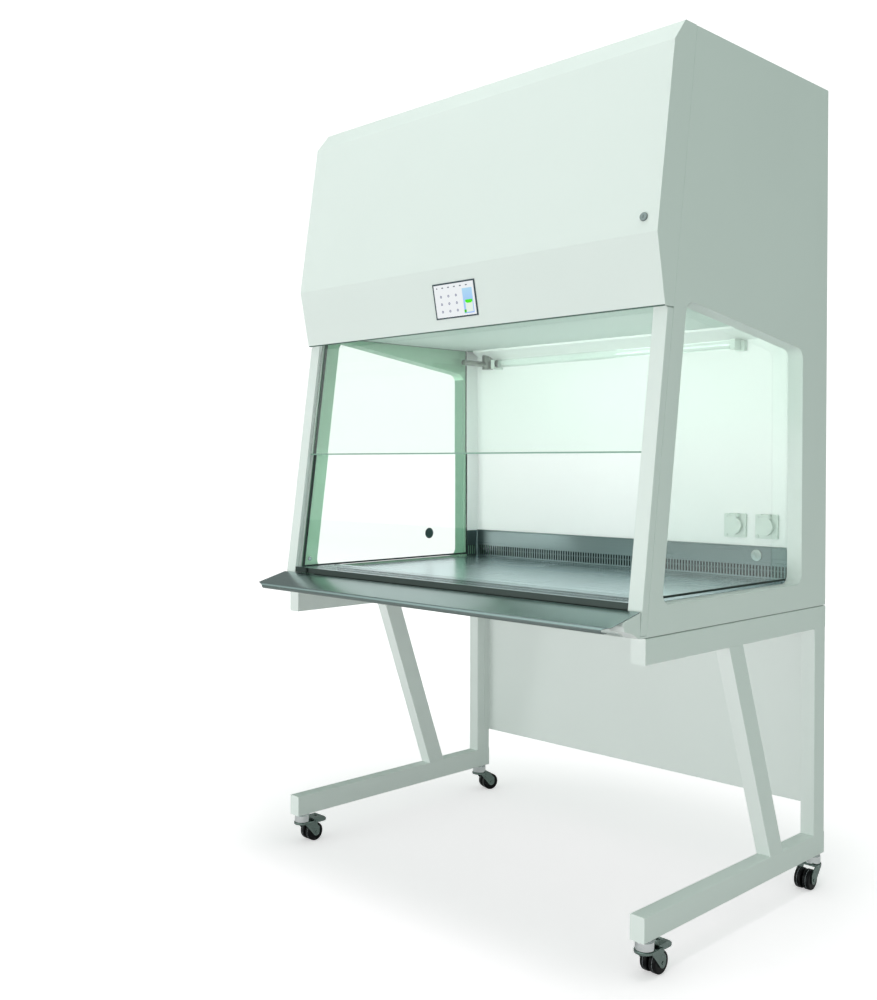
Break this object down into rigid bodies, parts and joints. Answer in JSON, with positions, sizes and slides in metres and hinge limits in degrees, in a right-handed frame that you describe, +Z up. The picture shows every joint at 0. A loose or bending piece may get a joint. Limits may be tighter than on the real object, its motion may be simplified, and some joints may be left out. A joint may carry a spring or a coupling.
{
  "type": "biological safety cabinet",
  "caption": "Class II biological safety cabinet with a leaning front, sliding glass sash, side windows, stainless work chamber and a castored tube stand.",
  "frame": {"origin": "on the floor under the middle of the bounding box", "axes": "+Z up, +X to the user's right, +Y to the rear of the cabinet"},
  "size_m": [1.313, 1.0142, 2.181],
  "materials": {
    "white_paint": "satin powder coat",
    "stainless": "fine brushed",
    "chrome": "polished",
    "zinc": "bright zinc plate",
    "rubber": "matt",
    "wheel_black": "matt",
    "clear_glass": "clear float",
    "aluminium": "satin anodised",
    "white_plastic": "fine texture",
    "screen_glass": "gloss cover lens",
    "filter_media": "pleated media in a metal frame",
    "lamp_glass": "frosted"
  },
  "bodies": {
    "cabinet": {"stand_frame_left": "white_paint", "stand_frame_right": "white_paint", "modesty_panel": "white_paint", "castor_heads": "zinc", "side_panel_left": "white_paint", "side_panel_right": "white_paint", "side_glass_left": "clear_glass", "side_glass_right": "clear_glass", "glass_gaskets": "rubber", "sash_guide_left": "white_paint", "sash_guide_right": "white_paint", "sash_belts": "rubber", "hood_hinges": "zinc", "back_panel": "white_paint", "top_panel": "white_paint", "exhaust_guard": "white_paint", "armrest": "stainless", "base_housing": "white_paint", "drain_pan": "stainless", "worktop_left": "stainless", "worktop_middle": "stainless", "worktop_right": "stainless", "front_grille": "stainless", "sash_stop_block": "rubber", "back_liner": "white_paint", "slotted_back_panel": "stainless", "rear_baffle": "white_paint", "ceiling_diffuser": "white_paint", "supply_filter": "filter_media", "fan_plenum": "stainless", "fan_motor": "aluminium", "exhaust_filter": "filter_media", "chamber_lamp": "lamp_glass", "uv_tube": "lamp_glass", "uv_holders": "white_plastic", "airflow_sensor": "chrome", "socket_bases": "white_plastic", "port_plug": "rubber", "dome_screws": "chrome"},
    "sash": {"sash_glass": "clear_glass", "sash_clamp_bar": "aluminium"},
    "sash_drive": {"sash_shaft": "aluminium"},
    "hood": {"front_hood": "white_paint", "screen_frame": "aluminium", "touch_screen": "screen_glass"},
    "lock": {"key_lock": "chrome"},
    "lid_left": {"socket_lid_left": "white_plastic"},
    "lid_right": {"socket_lid_right": "white_plastic"},
    "latch": {"latch_core": "chrome"},
    "impeller": {"fan_impeller": "aluminium"},
    "fork_fl": {"castor_fork_fl": "zinc"},
    "wheels_fl": {"castor_wheels_fl": "wheel_black"},
    "pedal_fl": {"brake_pedal_fl": "zinc"},
    "fork_fr": {"castor_fork_fr": "zinc"},
    "wheels_fr": {"castor_wheels_fr": "wheel_black"},
    "pedal_fr": {"brake_pedal_fr": "zinc"},
    "fork_rl": {"castor_fork_rl": "zinc"},
    "wheels_rl": {"castor_wheels_rl": "wheel_black"},
    "fork_rr": {"castor_fork_rr": "zinc"},
    "wheels_rr": {"castor_wheels_rr": "wheel_black"}
  },
  "joints": [
    {"name": "sash_slide", "type": "slide", "parent": "cabinet", "child": "sash", "axis": [0, 0.1374, 0.9905], "range_m": [-0.336, 0.285]},
    {"name": "sash_drive_turn", "type": "hinge", "parent": "cabinet", "child": "sash_drive", "pos_m": [0, -0.16567, 2.141], "axis": [-1, 0, 0], "continuous": true},
    {"name": "hood_lift", "type": "hinge", "parent": "cabinet", "child": "hood", "pos_m": [0, -0.18062, 2.178], "axis": [-1, 0, 0], "range_deg": [0, 80]},
    {"name": "lock_turn", "type": "hinge", "parent": "hood", "child": "lock", "pos_m": [0.61, -0.33395, 1.7185], "axis": [0, -0.9891, 0.1476], "range_deg": [0, 90]},
    {"name": "lid_left_lift", "type": "hinge", "parent": "cabinet", "child": "lid_left", "pos_m": [0.414, 0.37915, 1.015], "axis": [-1, 0, 0], "range_deg": [0, 100], "stiffness_Nm_per_rad": 0.01},
    {"name": "lid_right_lift", "type": "hinge", "parent": "cabinet", "child": "lid_right", "pos_m": [0.5125, 0.37915, 1.015], "axis": [-1, 0, 0], "range_deg": [0, 100], "stiffness_Nm_per_rad": 0.01},
    {"name": "latch_turn", "type": "hinge", "parent": "cabinet", "child": "latch", "pos_m": [0.48, 0.39465, 0.903], "axis": [0, -1, 0], "range_deg": [0, 90]},
    {"name": "impeller_spin", "type": "hinge", "parent": "cabinet", "child": "impeller", "pos_m": [0, 0.29115, 1.863], "axis": [0, 1, 0], "continuous": true},
    {"name": "swivel_fl", "type": "hinge", "parent": "cabinet", "child": "fork_fl", "pos_m": [-0.63, -0.34885, 0.0635], "axis": [0, 0, 1], "continuous": true},
    {"name": "roll_fl", "type": "hinge", "parent": "fork_fl", "child": "wheels_fl", "pos_m": [-0.63, -0.31285, 0.0275], "axis": [-1, 0, 0], "continuous": true},
    {"name": "brake_fl", "type": "hinge", "parent": "fork_fl", "child": "pedal_fl", "pos_m": [-0.63, -0.31485, 0.061], "axis": [-1, 0, 0], "range_deg": [0, 4]},
    {"name": "swivel_fr", "type": "hinge", "parent": "cabinet", "child": "fork_fr", "pos_m": [0.63, -0.34885, 0.0635], "axis": [0, 0, 1], "continuous": true},
    {"name": "roll_fr", "type": "hinge", "parent": "fork_fr", "child": "wheels_fr", "pos_m": [0.63, -0.31285, 0.0275], "axis": [-1, 0, 0], "continuous": true},
    {"name": "brake_fr", "type": "hinge", "parent": "fork_fr", "child": "pedal_fr", "pos_m": [0.63, -0.31485, 0.061], "axis": [-1, 0, 0], "range_deg": [0, 4]},
    {"name": "swivel_rl", "type": "hinge", "parent": "cabinet", "child": "fork_rl", "pos_m": [-0.63, 0.44115, 0.0635], "axis": [0, 0, 1], "continuous": true},
    {"name": "roll_rl", "type": "hinge", "parent": "fork_rl", "child": "wheels_rl", "pos_m": [-0.61887, 0.47539, 0.0275], "axis": [-0.9511, 0.309, 0], "continuous": true},
    {"name": "swivel_rr", "type": "hinge", "parent": "cabinet", "child": "fork_rr", "pos_m": [0.63, 0.44115, 0.0635], "axis": [0, 0, 1], "continuous": true},
    {"name": "roll_rr", "type": "hinge", "parent": "fork_rr", "child": "wheels_rr", "pos_m": [0.63, 0.40515, 0.0275], "axis": [1, 0, 0], "continuous": true}
  ],
  "couplings": [
    {"joint": "sash_drive_turn", "follows": "sash_slide", "rad_per_m": 63.492}
  ]
}
